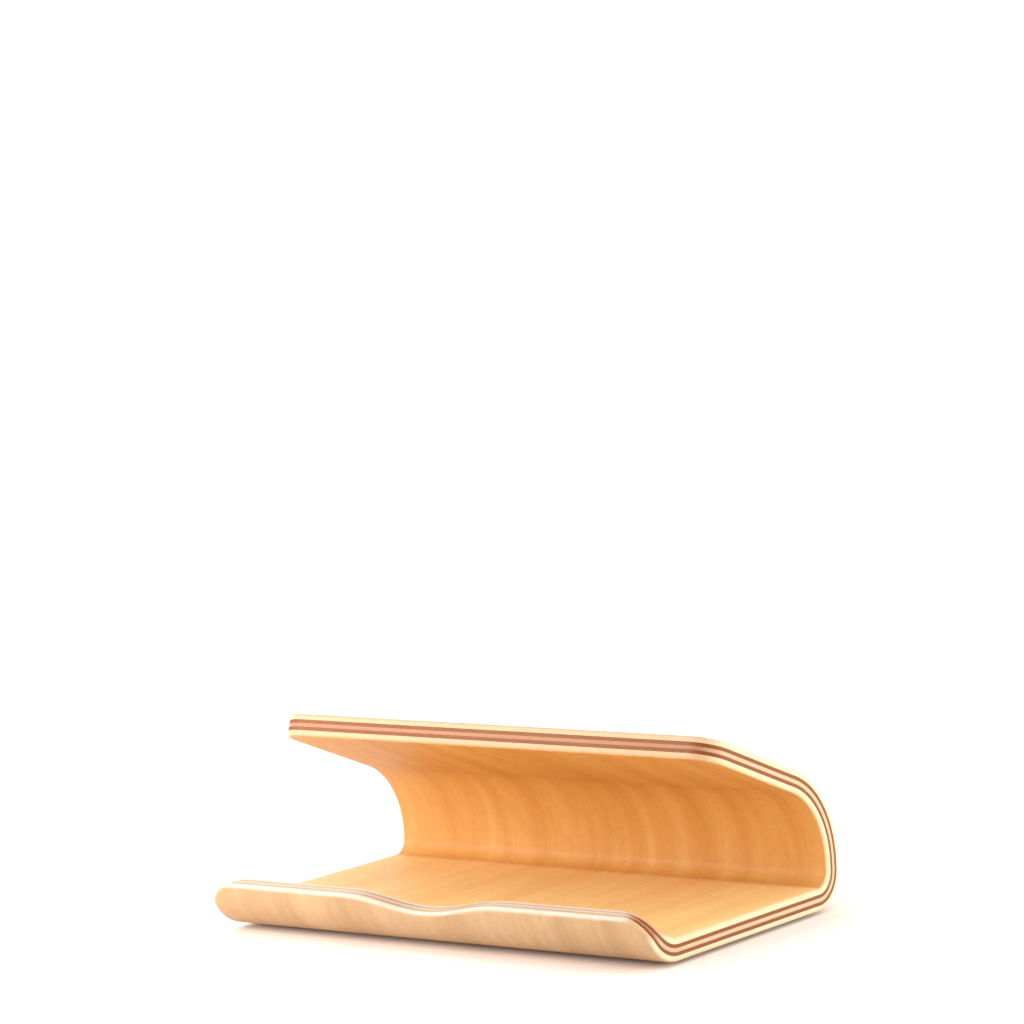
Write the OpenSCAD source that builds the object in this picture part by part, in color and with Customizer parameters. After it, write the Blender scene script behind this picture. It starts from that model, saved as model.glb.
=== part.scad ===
// Tablet stand in bent plywood.
//
// Five veneers are glued face to face and pressed into one curled sheet. Seen from the side, the sheet
// starts at a low front lip, bends down into the flat base, bends up at the back, rolls over a large
// shoulder and comes forward again as a rising top panel. The tablet stands in the trough behind the
// lip and leans against the square-cut end of the top panel. Four thin bumper feet keep it from sliding.
//
// Origin: middle of the stand, on the plane of the feet's undersides. Z is up, and the lip faces -Y.

/* [Sheet] */
// Width of the stand from side to side
stand_w = 148; // [120:1:180]
// Thickness of each of the two face veneers
face_t = 1.7; // [1.2:0.1:2]
// Thickness of each of the two cross veneers
cross_t = 1; // [0.6:0.1:1.3]
// Thickness of the core veneer
core_t = 1.1; // [0.6:0.1:1.3]

/* [Side profile] */
// Straight length of the lip above its bend
lip_l = 0.7; // [0.5:0.1:8]
// Angle that the lip turns up from the base, in degrees
lip_angle = 80.5; // [70:0.5:88]
// Outer radius of the bend between the lip and the base
front_bend_r = 15.5; // [12:0.5:18]
// Flat length of the base between its bends
base_l = 70.5; // [60:0.5:90]
// Outer radius of the bend at the back of the base
rear_bend_r = 10.9; // [9:0.1:14]
// Straight height between the rear bend and the shoulder
back_l = 1.4; // [0.5:0.1:10]
// Outer radius of the large shoulder bend
shoulder_r = 30.7; // [24:0.1:36]
// Rise of the top panel above level, in degrees
panel_rise = 21; // [12:0.5:30]
// Straight length of the top panel
panel_l = 43.5; // [30:0.5:55]

/* [Outline] */
// Length of the lip's top edge that each of its two rounded end corners takes
lip_corner_l = 12; // [6:0.5:20]
// Half of the width of the home button notch in the lip
notch_half_w = 26; // [18:0.5:30]
// Depth of the home button notch below the lip's top
notch_d = 3.5; // [2:0.1:4]
// Corner radius at the two ends of the top panel
panel_corner_r = 8; // [2:0.5:20]

/* [Feet] */
// Diameter of a bumper foot
foot_dia = 10; // [6:0.5:14]
// Height that a bumper foot stands proud of the base
foot_h = 1; // [0.5:0.1:2]
// Distance from a side of the stand to a foot's centre
foot_side_inset = 14; // [10:0.5:30]
// Distance from an end of the flat base to a foot's centre
foot_end_inset = 8; // [7:0.5:20]

/* [Hidden] */
$fn = 128;

// Depths below the sheet's outer surface at which one veneer ends and the next begins
outer_glue_1 = face_t;
outer_glue_2 = face_t + cross_t;
inner_glue_2 = face_t + cross_t + core_t;
inner_glue_1 = face_t + 2 * cross_t + core_t;
sheet_t = 2 * face_t + 2 * cross_t + core_t;

// Largest angle between two points of a bend's arc, and the number of flats in each computed curve
arc_step = 3;
corner_steps = 15;
notch_steps = 40;

// Side profile: the centre of each bend, as [y, z]
lip_reach = front_bend_r * sin(lip_angle) + lip_l * cos(lip_angle);
stand_d = lip_reach + base_l + rear_bend_r;
front_bend_c = [lip_reach - stand_d / 2, foot_h + front_bend_r];
rear_bend_c = [stand_d / 2 - rear_bend_r, foot_h + rear_bend_r];
shoulder_c = [stand_d / 2 - shoulder_r, rear_bend_c[1] + back_l];
// Angles of the outward normals of the lip and of the top panel
lip_normal = 270 - lip_angle;
panel_normal = 90 - panel_rise;

// Highest edge of the lip, which is the inner one because the lip leans out
lip_top_z = front_bend_c[1] - (front_bend_r - sheet_t) * cos(lip_angle) + lip_l * sin(lip_angle);
// The lip's end corners start a hair above the trough's floor, so that their cut never grazes it
corner_lift = 0.02;
lip_corner_z = foot_h + sheet_t + corner_lift;

// How far a cutting shape reaches past what it cuts
spare = 5;

// Bumper feet
foot_edge_r = foot_h / 2;
foot_x = stand_w / 2 - foot_side_inset;
foot_front_y = front_bend_c[0] + foot_end_inset;
foot_rear_y = rear_bend_c[0] - foot_end_inset;

// ---- Side profile of the sheet, as [y, z] points ----

// Points of an arc about a centre, from one polar angle to another
function arc(centre, r, from, to) =
    let (steps = ceil((to - from) / arc_step))
        [for (i = [0:steps]) around(centre, r, from + (to - from) * i / steps)];

// Point at distance r from a centre, in the direction of a polar angle
function around(centre, r, angle) = centre + r * [cos(angle), sin(angle)];

// Step along the sheet, from the lip towards the top panel, where its outward normal has an angle
function along(normal, length) = length * [-sin(normal), cos(normal)];

// The curled line that lies a depth below the sheet's outer surface, from the lip to the top panel
function layer(depth) = concat(
    [around(front_bend_c, front_bend_r - depth, lip_normal) - along(lip_normal, lip_l)],
    arc(front_bend_c, front_bend_r - depth, lip_normal, 270),
    arc(rear_bend_c, rear_bend_r - depth, 270, 360),
    arc(shoulder_c, shoulder_r - depth, 0, panel_normal),
    [around(shoulder_c, shoulder_r - depth, panel_normal) + along(panel_normal, panel_l)]
);

function reversed(points) = [for (i = [len(points) - 1:-1:0]) points[i]];

// Curled strip between two depths
module strip(top, bottom)
    polygon(concat(layer(top), reversed(layer(bottom))));

// ---- Outline of the sheet: what is cut away at its two ends ----

// Waste outside a rounded corner: a quarter of an ellipse about the origin
module corner_waste(length, height)
    polygon(concat(
        [[length + spare, 0]],
        [for (i = [0:corner_steps])
            let (angle = 90 * i / corner_steps)
                [length * cos(angle), height * sin(angle)]],
        [[0, height + spare], [length + spare, height + spare]]
    ));

// A shape and its mirror image to the left
module both_sides() {
    children();
    mirror([1, 0])
        children();
}

// Waste at the lip's end corners, cut level from front to back. Each corner's curve starts upright,
// just above the trough's floor, and ends level with the lip's top.
module lip_corner_waste()
    translate([0, front_bend_c[0] + base_l / 2, lip_corner_z])
        rotate([90, 0, 0])
            linear_extrude(base_l / 2 + lip_reach + spare)
                both_sides()
                    translate([stand_w / 2 - lip_corner_l, 0])
                        corner_waste(lip_corner_l, lip_top_z - lip_corner_z);

// The notch seen square to the lip, with the lip's top at zero: one smooth wave
module notch_outline()
    polygon(concat(
        [[-notch_half_w, spare]],
        [for (i = [0:notch_steps])
            let (phase = 360 * i / notch_steps)
                [notch_half_w * (phase / 180 - 1), -notch_d * (1 - cos(phase)) / 2]],
        [[notch_half_w, spare]]
    ));

// Waste in the notch, cut square through the lip
module notch_waste()
    translate([0, front_bend_c[0], front_bend_c[1]])
        rotate([90 - lip_angle, 0, 0])
            translate([0, 0, lip_l])
                rotate([90, 0, 0])
                    linear_extrude(front_bend_r + spare)
                        notch_outline();

// Waste at the end of the top panel, cut square through its sheet
module panel_waste()
    translate([0, shoulder_c[0], shoulder_c[1]])
        rotate([-panel_rise, 0, 0])
            translate([0, -panel_l, shoulder_r - sheet_t - spare])
                linear_extrude(sheet_t + 2 * spare)
                    both_sides()
                        translate([stand_w / 2 - panel_corner_r, panel_corner_r])
                            mirror([0, 1])
                                corner_waste(panel_corner_r, panel_corner_r);

// One veneer of the sheet, between two depths below its outer surface
module veneer(top, bottom)
    difference() {
        rotate([90, 0, 90])
            linear_extrude(stand_w, center = true)
                strip(top, bottom);
        lip_corner_waste();
        notch_waste();
        panel_waste();
    }

// ---- Sub-parts ----

module outer_face_veneer()
    color("burlywood")
        veneer(0, outer_glue_1);

module outer_cross_veneer()
    color("sienna")
        veneer(outer_glue_1, outer_glue_2);

module core_veneer()
    color("cornsilk")
        veneer(outer_glue_2, inner_glue_2);

module inner_cross_veneer()
    color("sienna")
        veneer(inner_glue_2, inner_glue_1);

module inner_face_veneer()
    color("sandybrown")
        veneer(inner_glue_1, sheet_t);

// Round bumper with a rounded lower edge, centred at x, y
module foot(x, y)
    color("dimgray")
        translate([x, y, 0])
            rotate_extrude()
                union() {
                    translate([0, foot_edge_r])
                        square([foot_dia / 2, foot_h - foot_edge_r]);
                    square([foot_dia / 2 - foot_edge_r, foot_h]);
                    translate([foot_dia / 2 - foot_edge_r, foot_edge_r])
                        circle(foot_edge_r);
                }

module foot_front_left()
    foot(-foot_x, foot_front_y);

module foot_front_right()
    foot(foot_x, foot_front_y);

module foot_rear_left()
    foot(-foot_x, foot_rear_y);

module foot_rear_right()
    foot(foot_x, foot_rear_y);

outer_face_veneer();
outer_cross_veneer();
core_veneer();
inner_cross_veneer();
inner_face_veneer();
foot_front_left();
foot_front_right();
foot_rear_left();
foot_rear_right();
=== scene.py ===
"""The looks of the bent plywood tablet stand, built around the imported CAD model."""

import math

import bpy
import numpy as np
from mathutils import Matrix, Vector


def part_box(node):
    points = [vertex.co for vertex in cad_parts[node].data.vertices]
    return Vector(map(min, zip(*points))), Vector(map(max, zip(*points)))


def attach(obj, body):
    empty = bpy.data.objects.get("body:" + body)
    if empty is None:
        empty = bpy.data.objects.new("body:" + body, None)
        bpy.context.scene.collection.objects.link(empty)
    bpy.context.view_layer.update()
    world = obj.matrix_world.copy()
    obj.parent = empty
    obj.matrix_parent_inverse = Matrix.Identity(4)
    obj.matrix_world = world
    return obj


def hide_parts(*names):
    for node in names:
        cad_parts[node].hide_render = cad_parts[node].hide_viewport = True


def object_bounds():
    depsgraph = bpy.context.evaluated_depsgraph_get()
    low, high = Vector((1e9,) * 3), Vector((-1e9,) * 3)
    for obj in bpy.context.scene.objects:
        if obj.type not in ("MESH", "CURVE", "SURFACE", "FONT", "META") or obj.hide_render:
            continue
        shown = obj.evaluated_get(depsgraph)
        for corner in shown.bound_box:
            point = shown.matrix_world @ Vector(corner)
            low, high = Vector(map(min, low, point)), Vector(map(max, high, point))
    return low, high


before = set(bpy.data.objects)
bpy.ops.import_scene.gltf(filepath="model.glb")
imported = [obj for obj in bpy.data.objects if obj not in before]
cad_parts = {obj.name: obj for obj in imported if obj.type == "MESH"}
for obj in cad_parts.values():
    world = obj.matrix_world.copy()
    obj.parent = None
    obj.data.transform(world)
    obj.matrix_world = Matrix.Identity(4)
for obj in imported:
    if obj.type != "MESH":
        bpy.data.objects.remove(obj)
cad_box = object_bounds()

MM = 0.001

# ---- Driving dimensions of the sheet that the frame doesn't give, in metres and radians ----

LIP_L = 0.7 * MM
LIP_ANGLE = math.radians(80.5)
FRONT_BEND_R = 15.5 * MM
REAR_BEND_R = 10.9 * MM
BACK_L = 1.4 * MM
SHOULDER_R = 30.7 * MM
PANEL_RISE = math.radians(21)
PANEL_L = 43.5 * MM
FACE_T = 1.7 * MM
LIP_CORNER_L = 12 * MM
CORNER_LIFT = 0.02 * MM
NOTCH_HALF_W = 26 * MM
NOTCH_D = 3.5 * MM
PANEL_CORNER_R = 8 * MM

# Rounding of the sheet's outer edges, and the fine groove that each glue line shows in a cut edge
EDGE_R = 1.2 * MM
EDGE_STEPS = 7
GLUE_GROOVE = 0.05 * MM

# How finely the sheet is divided: the largest turn and the longest straight step from row to row, the
# distance from each end to the row that holds its shading, and the columns in a corner and between them
ROW_TURN = math.radians(3)
ROW_L = 3.2 * MM
SUPPORT_L = 0.25 * MM
CORNER_COLUMNS = 10
MIDDLE_COLUMNS = 64

# ---- What the frame gives ----

PLIES = ["outer_face", "outer_cross", "core", "inner_cross", "inner_face"]
FEET = ["front_left", "front_right", "rear_left", "rear_right"]


def ply_depths():
    """Depths below the sheet's outer surface at which the plies start, and at which the last one ends."""
    backs = [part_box(f"{ply}_veneer")[1].y for ply in PLIES]
    starts = [backs[0] - back for back in backs]
    return starts + [starts[-1] + FACE_T]


DEPTHS = ply_depths()
SHEET_T = DEPTHS[-1]
MID_DEPTH = SHEET_T / 2
sheet_low, sheet_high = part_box("outer_face_veneer")
HALF_W = sheet_high.x
LIP_REACH = FRONT_BEND_R * math.sin(LIP_ANGLE) + LIP_L * math.cos(LIP_ANGLE)
BASE_L = sheet_high.y - sheet_low.y - LIP_REACH - REAR_BEND_R

# ---- The curled side profile ----


def along(normal):
    """The way along the sheet, from the lip to the top panel, where its outward normal has an angle."""
    return np.array([-math.sin(normal), math.cos(normal)])


LIP_NORMAL = 1.5 * math.pi - LIP_ANGLE
DOWN, BACK = 1.5 * math.pi, 2 * math.pi
PANEL_NORMAL = 2.5 * math.pi - PANEL_RISE
front_c = np.array([sheet_low.y + LIP_REACH, sheet_low.z + FRONT_BEND_R])
rear_c = np.array([sheet_high.y - REAR_BEND_R, sheet_low.z + REAR_BEND_R])
shoulder_c = np.array([sheet_high.y - SHOULDER_R, rear_c[1] + BACK_L])

# Each stretch of the sheet: its length, the centre that it starts about, its outer radius and its normals
STRETCHES = [
    (LIP_L, front_c - LIP_L * along(LIP_NORMAL), FRONT_BEND_R, LIP_NORMAL, LIP_NORMAL),
    (None, front_c, FRONT_BEND_R, LIP_NORMAL, DOWN),
    (BASE_L, front_c, FRONT_BEND_R, DOWN, DOWN),
    (None, rear_c, REAR_BEND_R, DOWN, BACK),
    (BACK_L, rear_c, REAR_BEND_R, BACK, BACK),
    (None, shoulder_c, SHOULDER_R, BACK, PANEL_NORMAL),
    (PANEL_L, shoulder_c, SHOULDER_R, PANEL_NORMAL, PANEL_NORMAL),
]


def stations(depth):
    """How far along the sheet, at a depth, each stretch starts, and how far along the last one ends."""
    lengths = [
        (radius - depth) * (end - start) if length is None else length
        for length, _, radius, start, end in STRETCHES
    ]
    return np.concatenate([[0], np.cumsum(lengths)])


STATIONS = stations(MID_DEPTH)
NORMALS = np.array([start for _, _, _, start, _ in STRETCHES] + [PANEL_NORMAL])
CENTRES = np.array([centre for _, centre, _, _, _ in STRETCHES])
RADII = np.array([radius for _, _, radius, _, _ in STRETCHES])
# The way that a straight stretch goes on from its centre, and no way at all for a bend
SLIDES = np.array([along(start) * (length is not None) for length, _, _, start, _ in STRETCHES])
BASE_START, PANEL_START, SHEET_END = STATIONS[2], STATIONS[6], STATIONS[7]


def side_points(u, depth):
    """y and z of the points at distances u along the sheet's middle and a depth below its outer surface."""
    stretch = np.clip(np.searchsorted(STATIONS, u, side="right") - 1, 0, len(STRETCHES) - 1)
    normal = np.interp(u, STATIONS, NORMALS)
    outward = np.stack([np.cos(normal), np.sin(normal)], -1)
    slid = (u - STATIONS[stretch])[..., None] * SLIDES[stretch]
    return CENTRES[stretch] + slid + (RADII[stretch] - depth)[..., None] * outward


# ---- The outline of the sheet ----

LIP_TOP_Z = front_c[1] - (FRONT_BEND_R - SHEET_T) * math.cos(LIP_ANGLE) + LIP_L * math.sin(LIP_ANGLE)
LIP_CORNER_Z = sheet_low.z + SHEET_T + CORNER_LIFT


def in_corner(x, length):
    """How far x is into a corner that takes that length of an end, from 0 to 1."""
    return np.clip((np.abs(x) - (HALF_W - length)) / length, 0, 1)


def notch_start(x, depth):
    """Where the sheet starts at x below the notch, which is cut square to the lip as one smooth wave."""
    wave = (1 + np.cos(np.pi * np.clip(x / NOTCH_HALF_W, -1, 1))) / 2
    left = LIP_L - NOTCH_D * wave
    turned = np.arcsin(np.maximum(-left, 0) / (FRONT_BEND_R - depth))
    return np.where(left > 0, LIP_L - left, LIP_L + (FRONT_BEND_R - MID_DEPTH) * turned)


def corner_start(x, depth):
    """Where the sheet starts at x below the lip's end corners, which are cut level from front to back."""
    reach = FRONT_BEND_R - depth
    bend_end_z = front_c[1] - reach * math.cos(LIP_ANGLE)
    round_off = np.sqrt(1 - in_corner(x, LIP_CORNER_L) ** 2)
    cut_z = LIP_CORNER_Z + (LIP_TOP_Z - LIP_CORNER_Z) * round_off
    angle = np.arccos(np.clip((front_c[1] - cut_z) / reach, -1, 1))
    in_bend = LIP_L + (FRONT_BEND_R - MID_DEPTH) * (LIP_ANGLE - angle)
    on_lip = LIP_L - (cut_z - bend_end_z) / math.sin(LIP_ANGLE)
    return np.where(cut_z > bend_end_z, on_lip, in_bend)


def lip_start(x, depth):
    """Where the sheet starts at x, at the lip."""
    return np.maximum(np.maximum(notch_start(x, depth), corner_start(x, depth)), 0)


def panel_end(x):
    """Where the sheet ends at x, at the top panel's front."""
    round_off = 1 - np.sqrt(1 - in_corner(x, PANEL_CORNER_R) ** 2)
    return SHEET_END - PANEL_CORNER_R * round_off


def columns(corner_length):
    """x of the sheet's columns where an end has corners of that length."""
    turn = np.linspace(0, math.pi / 2, CORNER_COLUMNS + 1)
    corner = HALF_W - corner_length * (1 - np.sin(turn))
    middle = np.linspace(-corner[0], corner[0], MIDDLE_COLUMNS + 1)
    return np.concatenate([-corner[:0:-1], middle, corner[1:]])


def rows():
    """Distances of the rows along the sheet's middle, with one close to each end that holds the shading."""
    found = [[0, SUPPORT_L]]
    for start, end, turn in zip(STATIONS, STATIONS[1:], np.diff(NORMALS)):
        steps = math.ceil(max(turn / ROW_TURN, (end - start) / ROW_L, 1))
        found.append(np.linspace(start, end, steps + 1)[1:])
    return np.sort(np.concatenate(found + [[SHEET_END - SUPPORT_L]]))


ROWS = rows()
LIP_COLUMNS, PANEL_COLUMNS = columns(LIP_CORNER_L), columns(PANEL_CORNER_R)


def fill(lip_edge, panel_edge):
    """x and u over the whole sheet between its lip edge and its panel edge, as rows of columns."""
    (lip_x, lip_u), (panel_x, panel_u) = lip_edge, panel_edge
    row = ROWS[:, None]
    u = np.repeat(row, len(lip_x), axis=1)
    u = np.where(row < BASE_START, lip_u + (BASE_START - lip_u) * row / BASE_START, u)
    into_panel = (row - PANEL_START) / (SHEET_END - PANEL_START)
    u = np.where(row > PANEL_START, PANEL_START + (panel_u - PANEL_START) * into_panel, u)
    x = lip_x + (panel_x - lip_x) * row / SHEET_END
    return x, u


def border(grid):
    """A grid's border as a closed ring: lip edge, right side, panel edge, left side."""
    return np.concatenate([grid[0, :-1], grid[:-1, -1], grid[-1, :0:-1], grid[:0:-1, 0]])


def split_border(ring):
    """The lip edge and the panel edge of a ring that border() made."""
    across, long = len(LIP_COLUMNS), len(ROWS)
    lip_edge = ring[:across]
    panel_edge = ring[across + long - 2 : 2 * across + long - 2][::-1]
    return lip_edge, panel_edge


def pull_in(x, u, depth, inset):
    """A ring moved inwards by an inset, measured on the unrolled surface at that depth, and its turn.

    The turn at a point is 0 where the ring runs across the sheet and 1 where it runs along it.
    """
    here = stations(depth)
    ring = np.stack([x, np.interp(u, STATIONS, here)], -1)
    ahead = np.roll(ring, -1, axis=0) - ring
    ahead /= np.linalg.norm(ahead, axis=1)[:, None]
    tangent = ahead + np.roll(ahead, 1, axis=0)
    tangent /= np.linalg.norm(tangent, axis=1)[:, None]
    inward = np.stack([-tangent[:, 1], tangent[:, 0]], -1)
    moved = ring + inset * inward
    turn = np.arcsin(np.clip(np.abs(inward[:, 0]), 0, 1)) / (math.pi / 2)
    return moved[:, 0], np.interp(moved[:, 1], here, STATIONS), turn


# ---- Plies as closed meshes ----

# Edges that turn by more than this stay sharp in the shading
SHARP_TURN = math.radians(32)


def edge_profile(top, bottom, rounded_top, rounded_bottom):
    """(depth, inset, share of cut wood) of each ring round a ply's cut edge, from its top to its bottom."""
    turns = np.linspace(0, math.pi / 2, EDGE_STEPS + 1)
    rounded = [(EDGE_R * (1 - math.cos(a)), EDGE_R * (1 - math.sin(a)), a / turns[-1]) for a in turns]
    grooved = [(0, GLUE_GROOVE, 1), (GLUE_GROOVE, 0, 1)]
    above = rounded if rounded_top else grooved
    below = rounded if rounded_bottom else grooved
    return [(top + d, inset, cut) for d, inset, cut in above] + [
        (bottom - d, inset, cut) for d, inset, cut in reversed(below)
    ]


def ply_surface(depth, inset):
    """x and u of a ply's face at a depth, pulled in at its border, then that border's x, u and turn."""
    x, u = fill((LIP_COLUMNS, lip_start(LIP_COLUMNS, depth)), (PANEL_COLUMNS, panel_end(PANEL_COLUMNS)))
    ring_x, ring_u, turn = pull_in(border(x), border(u), depth, inset)
    (lip_x, panel_x), (lip_u, panel_u) = split_border(ring_x), split_border(ring_u)
    x, u = fill((lip_x, lip_u), (panel_x, panel_u))
    return x, u, ring_x, ring_u, turn


def ply_mesh(name, top, bottom, rounded_top, rounded_bottom):
    """A closed mesh between two depths, with its place in the unrolled sheet at every vertex."""
    profile = edge_profile(top, bottom, rounded_top, rounded_bottom)
    sheet, cut, turns, faces, rings = [], [], [], [], []
    for index, (depth, inset, cut_share) in enumerate(profile):
        x, u, ring_x, ring_u, turn = ply_surface(depth, inset)
        start = len(sheet)
        sheet += list(zip(ring_x, ring_u, [depth] * len(ring_x)))
        cut += [cut_share] * len(ring_x)
        turns += list(turn)
        rings.append(np.arange(start, len(sheet)))
        if index in (0, len(profile) - 1):
            ids = np.empty(x.shape, int)
            inner = x[1:-1, 1:-1].size
            ids[1:-1, 1:-1] = np.arange(len(sheet), len(sheet) + inner).reshape(x[1:-1, 1:-1].shape)
            place_border(ids, rings[-1])
            sheet += list(zip(x[1:-1, 1:-1].ravel(), u[1:-1, 1:-1].ravel(), [depth] * inner))
            cut += [0] * inner
            turns += [0] * inner
            faces += grid_faces(ids, flipped=index == 0)
    for upper, lower in zip(rings, rings[1:]):
        faces += ring_faces(upper, lower)
    return sheet_object(name, np.array(sheet), cut, turns, faces)


def place_border(ids, ring):
    """Writes a ring's vertex numbers into a grid's border, in border()'s order."""
    across, long = ids.shape[1] - 1, ids.shape[0] - 1
    ids[0, :-1] = ring[:across]
    ids[:-1, -1] = ring[across : across + long]
    ids[-1, :0:-1] = ring[across + long : 2 * across + long]
    ids[:0:-1, 0] = ring[2 * across + long :]


def grid_faces(ids, flipped):
    """The faces between the vertices of a grid."""
    a, b, c, d = ids[:-1, :-1], ids[:-1, 1:], ids[1:, 1:], ids[1:, :-1]
    corners = (a, d, c, b) if flipped else (a, b, c, d)
    return np.stack(corners, -1).reshape(-1, 4).tolist()


def ring_faces(upper, lower):
    """The faces between two rings of as many vertices."""
    return np.stack([upper, np.roll(upper, -1), np.roll(lower, -1), lower], -1).tolist()


def sheet_object(name, sheet, cut, turns, faces):
    """An object from places in the unrolled sheet: x, distance along its middle, depth."""
    sides = np.zeros((len(sheet), 2))
    for depth in np.unique(sheet[:, 2]):
        here = sheet[:, 2] == depth
        sides[here] = side_points(sheet[here, 1], depth)
    mesh = bpy.data.meshes.new(name)
    mesh.from_pydata(np.column_stack([sheet[:, 0], sides]).tolist(), [], faces)
    mesh.attributes.new("sheet", "FLOAT_VECTOR", "POINT").data.foreach_set("vector", sheet.ravel())
    mesh.attributes.new("cut", "FLOAT", "POINT").data.foreach_set("value", cut)
    mesh.attributes.new("edge_turn", "FLOAT", "POINT").data.foreach_set("value", turns)
    return finish_mesh(name, mesh)


def finish_mesh(name, mesh):
    """An object in the scene with smooth shading, except across its sharp edges."""
    mesh.shade_smooth()
    mesh.set_sharp_from_angle(angle=SHARP_TURN)
    made = bpy.data.objects.new(name, mesh)
    bpy.context.scene.collection.objects.link(made)
    return made


# ---- Bumper feet ----

FOOT_EDGE_R = 0.5 * MM
FOOT_EDGE_STEPS = 8
FOOT_TOP_BEVEL = 0.1 * MM
FOOT_SEGMENTS = 96
# The depth of the sole's hollow at its middle, and the shares of its radius at which its rings lie
FOOT_DISH = 0.15 * MM
DISH_RINGS = (0.9, 0.8, 0.65, 0.5, 0.35, 0.2, 0.1)


def foot_profile(radius, height):
    """(radius, height) of a moulded bumper's points: flat top, straight side, round edge, dished sole."""
    turns = np.linspace(0, math.pi / 2, FOOT_EDGE_STEPS + 1)
    top = [(radius / 2, height), (radius - FOOT_TOP_BEVEL, height), (radius, height - FOOT_TOP_BEVEL)]
    edge = [(radius - FOOT_EDGE_R * (1 - math.cos(a)), FOOT_EDGE_R * (1 - math.sin(a))) for a in turns]
    rim = radius - FOOT_EDGE_R
    dish = [(rim * share, FOOT_DISH * math.cos(math.pi * share / 2) ** 2) for share in DISH_RINGS]
    return top + edge + dish


def foot(node):
    """A bumper foot in the place of a CAD foot."""
    low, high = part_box(node)
    centre, radius, height = (low + high) / 2, (high.x - low.x) / 2, high.z - low.z
    profile = foot_profile(radius, height)
    turns = np.linspace(0, 2 * math.pi, FOOT_SEGMENTS, endpoint=False)
    points = [(0, 0, height)]
    points += [(r * math.cos(t), r * math.sin(t), z) for r, z in profile for t in turns]
    points.append((0, 0, FOOT_DISH))
    rings = [np.arange(FOOT_SEGMENTS) + 1 + i * FOOT_SEGMENTS for i in range(len(profile))]
    faces = [face for upper, lower in zip(rings, rings[1:]) for face in ring_faces(lower, upper)]
    top, bottom = rings[0], rings[-1]
    faces += [(0, int(a), int(b)) for a, b in zip(top, np.roll(top, -1))]
    last = len(points) - 1
    faces += [(last, int(b), int(a)) for a, b in zip(bottom, np.roll(bottom, -1))]
    mesh = bpy.data.meshes.new(f"bumper_{node}")
    mesh.from_pydata([(centre.x + x, centre.y + y, low.z + z) for x, y, z in points], [], faces)
    return finish_mesh(node.replace("foot", "bumper"), mesh)


# ---- Materials ----


def linear(red, green, blue):
    """An sRGB colour from 0 to 255 as the linear colour that a shader takes."""
    shares = (value / 255 for value in (red, green, blue))
    return (*(s / 12.92 if s <= 0.04045 else ((s + 0.055) / 1.055) ** 2.4 for s in shares), 1)


class Finish:
    """A node material under construction."""

    def __init__(self, name):
        self.material = bpy.data.materials.new(name)
        self.material.use_nodes = True
        self.nodes = self.material.node_tree.nodes
        self.links = self.material.node_tree.links
        self.shader = self.nodes["Principled BSDF"]

    def set(self, socket, value):
        if isinstance(value, bpy.types.NodeSocket):
            self.links.new(value, socket)
        else:
            socket.default_value = value

    def attribute(self, name, output):
        node = self.nodes.new("ShaderNodeAttribute")
        node.attribute_name = name
        return node.outputs[output]

    def math(self, operation, a, b=0.0, c=0.0):
        node = self.nodes.new("ShaderNodeMath")
        node.operation = operation
        for socket, value in zip(node.inputs, (a, b, c)):
            self.set(socket, value)
        return node.outputs[0]

    def separated(self, vector, axis):
        node = self.nodes.new("ShaderNodeSeparateXYZ")
        self.set(node.inputs[0], vector)
        return node.outputs[axis]

    def scaled(self, vector, scale, offset=(0, 0, 0)):
        """A vector times a scale for each axis, plus an offset."""
        node = self.nodes.new("ShaderNodeVectorMath")
        node.operation = "MULTIPLY_ADD"
        for socket, value in zip(node.inputs, (vector, scale, offset)):
            self.set(socket, value)
        return node.outputs[0]

    def noise(self, vector, detail=2.0, roughness=0.5, distortion=0.0):
        node = self.nodes.new("ShaderNodeTexNoise")
        for name, value in (
            ("Vector", vector), ("Scale", 1.0), ("Detail", detail),
            ("Roughness", roughness), ("Distortion", distortion),
        ):
            self.set(node.inputs[name], value)
        return node.outputs[0]

    def ramp(self, value, low, high, start=0.0, end=1.0):
        """A smooth step from start to end as value goes from low to high."""
        node = self.nodes.new("ShaderNodeMapRange")
        node.interpolation_type = "SMOOTHSTEP"
        for socket, given in zip(node.inputs, (value, low, high, start, end)):
            self.set(socket, given)
        return node.outputs[0]

    def mix(self, share, a, b, blend="MIX"):
        node = self.nodes.new("ShaderNodeMix")
        node.data_type = "RGBA"
        node.blend_type = blend
        self.set(node.inputs[0], share)
        self.set(node.inputs[6], a)
        self.set(node.inputs[7], b)
        return node.outputs[2]

    def bump(self, height, distance):
        node = self.nodes.new("ShaderNodeBump")
        self.set(node.inputs["Height"], height)
        self.set(node.inputs["Distance"], distance)
        self.set(self.shader.inputs["Normal"], node.outputs[0])


# Colours of each veneer: its face, light and dark, then a cut along its fibres, a cut across them, and
# a painted highlight: the level stretches of a cut end are painted paler, standing in for glare. This
# painted highlight is weaker at the top panel's end than at the lip's.
# The inner face is painted paler and yellower where the base lies, as if lit, and darker orange where the
# sheet turns
# up behind it, as in shade: painted light on one veneer.
VENEER_COLOURS = {
    "outer_face": {
        "light": linear(194, 160, 121), "dark": linear(177, 142, 103),
        "cut": linear(220, 208, 172), "end": linear(213, 174, 132), "level": linear(212, 201, 184),
    },
    "inner_face": {
        "light": linear(208, 155, 88), "dark": linear(196, 137, 68),
        "painted_lit_base_light": linear(239, 205, 142), "painted_lit_base_dark": linear(231, 191, 125),
        "cut": linear(216, 206, 168), "end": linear(206, 166, 124), "level": linear(214, 203, 187),
    },
    "core": {
        "light": linear(206, 166, 126), "dark": linear(188, 140, 100),
        "cut": linear(210, 180, 146), "end": linear(172, 114, 78), "level": linear(208, 190, 170),
    },
    "cross": {
        "light": linear(176, 122, 84), "dark": linear(156, 100, 64),
        "cut": linear(128, 66, 22), "end": linear(138, 78, 36), "level": linear(192, 162, 130),
    },
}
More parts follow.
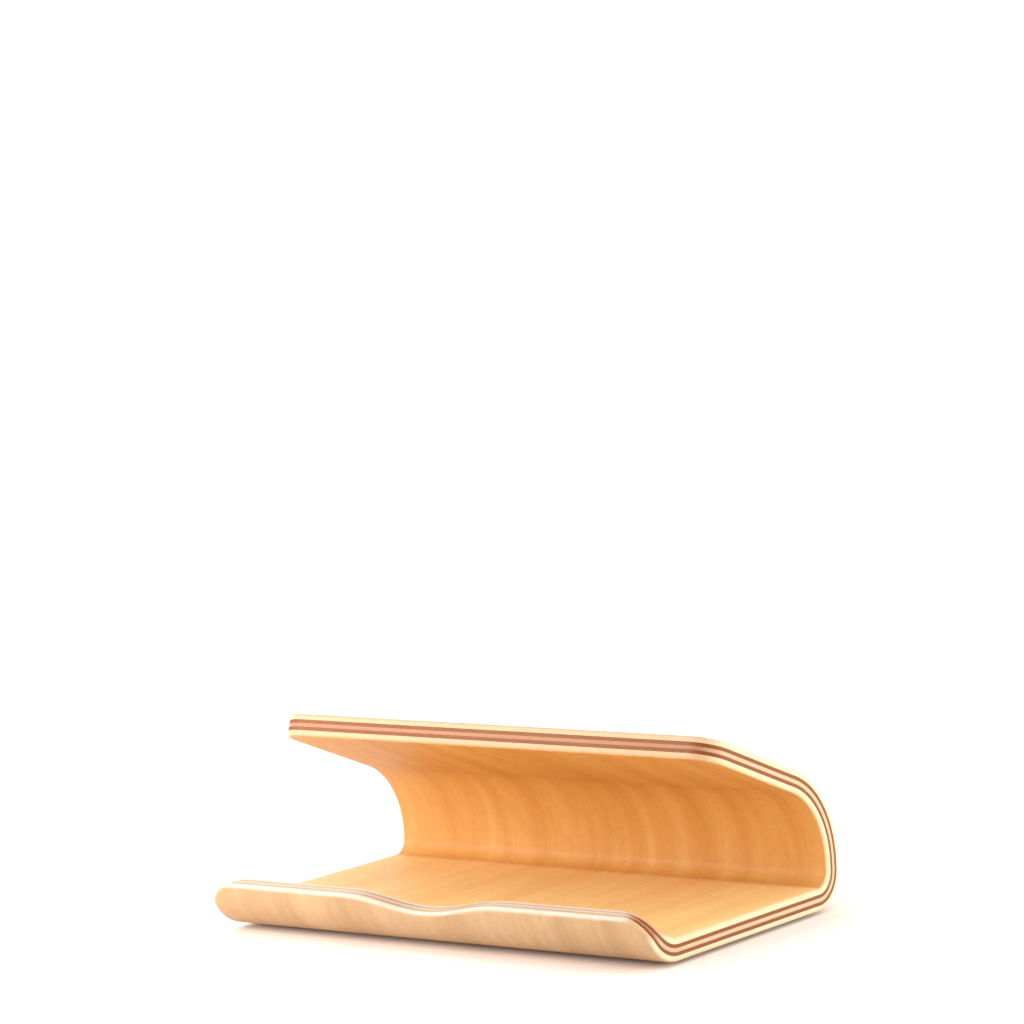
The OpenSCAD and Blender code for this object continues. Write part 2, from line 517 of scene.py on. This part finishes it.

# Distances along the sheet between which the inner face's painted light turns from the lit base's colour to
# the shaded wall's
PAINTED_LIGHT_BASE_FADE = (BASE_START + 0.96 * BASE_L, BASE_START + 1.04 * BASE_L)

# The turns of an end's edge over which its painted highlight fades, and how strong that painted highlight
# is at the top panel's end
PAINTED_HIGHLIGHT_STEP, PAINTED_HIGHLIGHT_AT_PANEL = (0.02, 0.36), 0.12
# The turn of an end's edge from which it takes on the sides' colour: the lip's end, then the top panel's
SIDE_STARTS = (0.68, 0.1)
# The shares of an edge's rounding over which a face's colour turns into its cut's
CUT_STEP = (0.05, 0.65)

# The textures in a veneer's shade, from broad to fine: the length and width of their features, the settings
# of their noise, and their weights
TEXTURES = {
    "streak": ((16 * MM, 0.7 * MM), {"detail": 2.0, "roughness": 0.55}, 0.14),
    "mottle": ((2.4 * MM, 2.0 * MM), {"detail": 3.0, "roughness": 0.65}, 0.16),
    "speckle": ((0.9 * MM, 0.6 * MM), {"detail": 2.0, "roughness": 0.6}, 0.16),
    "fibre": ((5 * MM, 0.2 * MM), {"detail": 3.0, "roughness": 0.6}, 0.10),
    "pore": ((2.2 * MM, 0.11 * MM), {"detail": 1.0}, -0.05),
}
# Pores deepen as their noise goes from the first of these to the second
PORE_STEP = (0.60, 0.74)

# Broad bands of light and dark, the waves of the figure, and the growth rings that a cut edge shows
BAND_SIZE, BAND_STEP = (150 * MM, 8 * MM), (0.25, 0.75)
FIGURE_SIZE, FIGURE_WAVES, FIGURE_STEP, FIGURE_SHARE = (110 * MM, 20 * MM), 60.0, (0.3, 1.0), 0.22
RING_SIZE, RING_STEP, RING_SHADE = (40 * MM, 0.4 * MM), (0.35, 0.65), (-0.06, 0.04)

# Roughness as the mottling goes from low to high, and the height of the relief, with the fibres' share
MOTTLE_STEP, ROUGHNESS = (0.3, 0.7), (0.56, 0.46)
RELIEF, FIBRE_SHARE = 0.02 * MM, 0.6

# How a veneer's seed moves its textures along each axis, so that no two veneers share a pattern
SEED_SPREAD = (1, 2.7, 5.3)


def grain_scale(axis, length, width):
    """Scale for a texture with features that long along an axis of the sheet, and that wide across it."""
    return tuple(1 / length if i == axis else 1 / width for i in range(3))


def veneer_finish(name, kind, grain, seed):
    """Clear-lacquered veneer whose fibres run along an axis of the sheet: 0 across it, 1 along it."""
    tints = VENEER_COLOURS[kind]
    wood = Finish(name)
    sheet = wood.attribute("sheet", "Vector")
    cut = wood.ramp(wood.attribute("cut", "Fac"), *CUT_STEP)
    turn = wood.attribute("edge_turn", "Fac")
    from_lip = wood.separated(sheet, 1)
    painted_highlight_strength = wood.ramp(from_lip, BASE_START, PANEL_START, 1.0, PAINTED_HIGHLIGHT_AT_PANEL)
    # Painted highlight: the level stretches of an end are painted paler, as glare would make them, weaker
    # towards the top panel
    level = wood.math("MULTIPLY", wood.ramp(turn, *PAINTED_HIGHLIGHT_STEP, 1.0, 0.0), painted_highlight_strength)
    offset = tuple(seed * spread for spread in SEED_SPREAD)

    def grain_noise(length, width, **settings):
        return wood.noise(wood.scaled(sheet, grain_scale(grain, length, width), offset), **settings)

    bands = wood.ramp(grain_noise(*BAND_SIZE, detail=3.0), *BAND_STEP)
    figure_field = grain_noise(*FIGURE_SIZE, detail=1.0, distortion=0.5)
    waves = wood.math("SINE", wood.math("MULTIPLY", figure_field, FIGURE_WAVES))
    figure = wood.math("MULTIPLY", wood.ramp(waves, *FIGURE_STEP), FIGURE_SHARE)
    textures = {}
    for texture, (size, settings, _) in TEXTURES.items():
        textures[texture] = grain_noise(*size, **settings)
    textures["pore"] = wood.ramp(textures["pore"], *PORE_STEP)

    light, dark = tints["light"], tints["dark"]
    # Painted light: the base is painted paler, as if lit, and the wall behind it darker orange, as in shade
    if "painted_lit_base_light" in tints:
        painted_shade_toward_wall = wood.ramp(from_lip, *PAINTED_LIGHT_BASE_FADE)
        light = wood.mix(painted_shade_toward_wall, tints["painted_lit_base_light"], light)
        dark = wood.mix(painted_shade_toward_wall, tints["painted_lit_base_dark"], dark)
    face = wood.mix(figure, wood.mix(bands, light, dark), dark)
    # A cut runs across the fibres at the sheet's sides where they run across it, and at its ends otherwise
    cut_tints = (tints["cut"], tints["end"]) if grain == 0 else (tints["end"], tints["cut"])
    side_start = wood.ramp(from_lip, BASE_START, PANEL_START, *SIDE_STARTS)
    cut_tint = wood.mix(wood.ramp(turn, side_start, 1.0), *cut_tints)
    tint = wood.mix(cut, face, wood.mix(level, cut_tint, tints["level"]))

    shade = 1.0
    for texture, (_, _, weight) in TEXTURES.items():
        middle = 0.0 if texture == "pore" else 0.5
        part = wood.math("MULTIPLY", wood.math("SUBTRACT", textures[texture], middle), weight)
        shade = wood.math("ADD", part, shade)
    rings = wood.ramp(grain_noise(*RING_SIZE, detail=2.0), *RING_STEP, *RING_SHADE)
    shade = wood.math("ADD", shade, wood.math("MULTIPLY", rings, cut))
    grey = wood.nodes.new("ShaderNodeCombineColor")
    for socket in grey.inputs:
        wood.set(socket, shade)
    wood.set(wood.shader.inputs["Base Color"], wood.mix(1.0, tint, grey.outputs[0], "MULTIPLY"))

    wood.set(wood.shader.inputs["Roughness"], wood.ramp(textures["mottle"], *MOTTLE_STEP, *ROUGHNESS))
    wood.shader.inputs["Specular IOR Level"].default_value = 0.2
    wood.shader.inputs["Coat Weight"].default_value = 0.08
    wood.shader.inputs["Coat IOR"].default_value = 1.3
    wood.shader.inputs["Coat Roughness"].default_value = 0.4
    fibres = wood.math("MULTIPLY", textures["fibre"], FIBRE_SHARE)
    wood.bump(wood.math("SUBTRACT", fibres, textures["pore"]), RELIEF)
    return wood.material


RUBBER_GRAIN, RUBBER_RELIEF = 0.25 * MM, 0.03 * MM
DUST_SIZE, DUST_STEP, DUST_SHARE = 2 * MM, (0.45, 0.75), (0.0, 0.5)
DUST_ROUGHNESS = (0.3, 0.7, 0.55, 0.8)


def rubber_finish():
    """Moulded black rubber with a fine matt grain and paler dust."""
    rubber = Finish("bumper_rubber")
    place = rubber.nodes.new("ShaderNodeTexCoord").outputs["Object"]
    grain = rubber.noise(rubber.scaled(place, (1 / RUBBER_GRAIN,) * 3), detail=3.0, roughness=0.65)
    dust = rubber.noise(rubber.scaled(place, (1 / DUST_SIZE,) * 3), detail=4.0, roughness=0.7)
    share = rubber.ramp(dust, *DUST_STEP, *DUST_SHARE)
    tint = rubber.mix(share, linear(38, 36, 35), linear(82, 77, 72))
    rubber.set(rubber.shader.inputs["Base Color"], tint)
    rubber.set(rubber.shader.inputs["Roughness"], rubber.ramp(dust, *DUST_ROUGHNESS))
    rubber.bump(grain, RUBBER_RELIEF)
    return rubber.material


# ---- The stand's pieces ----

# The seed of the first ply's textures, and the step from ply to ply
FIRST_SEED, SEED_STEP = 3.1, 7.3


def make_plies():
    """The five veneers, rounded at the sheet's two faces."""
    for index, ply in enumerate(PLIES):
        first, last = index == 0, index == len(PLIES) - 1
        piece = ply_mesh(f"{ply}_ply", DEPTHS[index], DEPTHS[index + 1], first, last)
        kind = "cross" if ply.endswith("cross") else ply
        grain = 0 if kind == "cross" else 1
        seed = FIRST_SEED + SEED_STEP * index
        piece.data.materials.append(veneer_finish(f"{ply}_birch", kind, grain, seed))
        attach(piece, "root")
        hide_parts(f"{ply}_veneer")


def make_feet():
    rubber = rubber_finish()
    for place in FEET:
        piece = foot(f"foot_{place}")
        piece.data.materials.append(rubber)
        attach(piece, "root")
        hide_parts(f"foot_{place}")


# ---- Studio ----

FLOOR_HALF = 6.0


def make_floor():
    mesh = bpy.data.meshes.new("floor")
    corners = [(-1, -1), (1, -1), (1, 1), (-1, 1)]
    mesh.from_pydata([(x * FLOOR_HALF, y * FLOOR_HALF, 0) for x, y in corners], [], [(0, 1, 2, 3)])
    floor = bpy.data.objects.new("floor", mesh)
    bpy.context.scene.collection.objects.link(floor)
    paint = Finish("floor_white")
    paint.shader.inputs["Base Color"].default_value = linear(252, 241, 234)
    paint.shader.inputs["Roughness"].default_value = 0.9
    paint.shader.inputs["Specular IOR Level"].default_value = 0.2
    floor.data.materials.append(paint.material)


# The lamps: name, place, diameter, watts and colour
LAMPS = [
    ("key", (-0.20, -0.235, 0.12), 0.24, 0.74, (1.0, 0.98, 0.96)),
    ("left", (-0.42, -0.38, 0.05), 0.15, 0.36, (1.0, 0.99, 0.97)),
    ("corner", (-0.20, -0.14, 0.035), 0.05, 0.07, (1.0, 0.99, 0.97)),
    ("right", (0.30, 0.13, 0.06), 0.10, 0.34, (1.0, 0.97, 0.93)),
]
SURROUND_STRENGTH = 1.24


def make_lamp(name, place, size, watts, tint, aim):
    """A round lamp at a place, turned towards its aim."""
    lamp = bpy.data.lights.new(name, "AREA")
    lamp.shape = "DISK"
    lamp.size, lamp.energy, lamp.color = size, watts, tint
    made = bpy.data.objects.new(name, lamp)
    made.location = place
    made.rotation_mode = "QUATERNION"
    made.rotation_quaternion = (aim - Vector(place)).to_track_quat("-Z", "Y")
    bpy.context.scene.collection.objects.link(made)


def make_lights():
    """An even white surround, and lamps that aim at the middle of the stand."""
    world = bpy.data.worlds.new("studio")
    world.use_nodes = True
    surround = world.node_tree.nodes["Background"]
    surround.inputs["Color"].default_value = (1, 1, 1, 1)
    surround.inputs["Strength"].default_value = SURROUND_STRENGTH
    bpy.context.scene.world = world
    middle = (cad_box[0] + cad_box[1]) / 2
    for lamp in LAMPS:
        make_lamp(*lamp, middle)


# The camera: where it looks, relative to the middle of the stand's top, and from where
AIM_BACK, AIM_UP = 4.1 * MM, 57.03 * MM
CAMERA_DISTANCE = 1.1814
CAMERA_AZIMUTH, CAMERA_ELEVATION, CAMERA_ROLL = (math.radians(a) for a in (36.04, 5.708, -2.966))
CAMERA_LENS, CAMERA_SENSOR = 149.7, 36.0


def make_camera():
    low, high = cad_box
    aim = Vector(((low.x + high.x) / 2, (low.y + high.y) / 2 + AIM_BACK, high.z + AIM_UP))
    flat = math.cos(CAMERA_ELEVATION)
    back = Vector((
        math.sin(CAMERA_AZIMUTH) * flat, -math.cos(CAMERA_AZIMUTH) * flat, math.sin(CAMERA_ELEVATION),
    ))
    lens = bpy.data.cameras.new("camera")
    lens.lens, lens.sensor_width = CAMERA_LENS, CAMERA_SENSOR
    lens.clip_start, lens.clip_end = 0.01, 50
    camera = bpy.data.objects.new("camera", lens)
    turn = (-back).to_track_quat("-Z", "Y").to_matrix().to_4x4() @ Matrix.Rotation(CAMERA_ROLL, 4, "Z")
    camera.matrix_world = Matrix.Translation(aim + back * CAMERA_DISTANCE) @ turn
    bpy.context.scene.collection.objects.link(camera)
    bpy.context.scene.camera = camera


make_plies()
make_feet()
make_floor()
make_lights()
make_camera()
bpy.context.scene.view_settings.view_transform = "Standard"
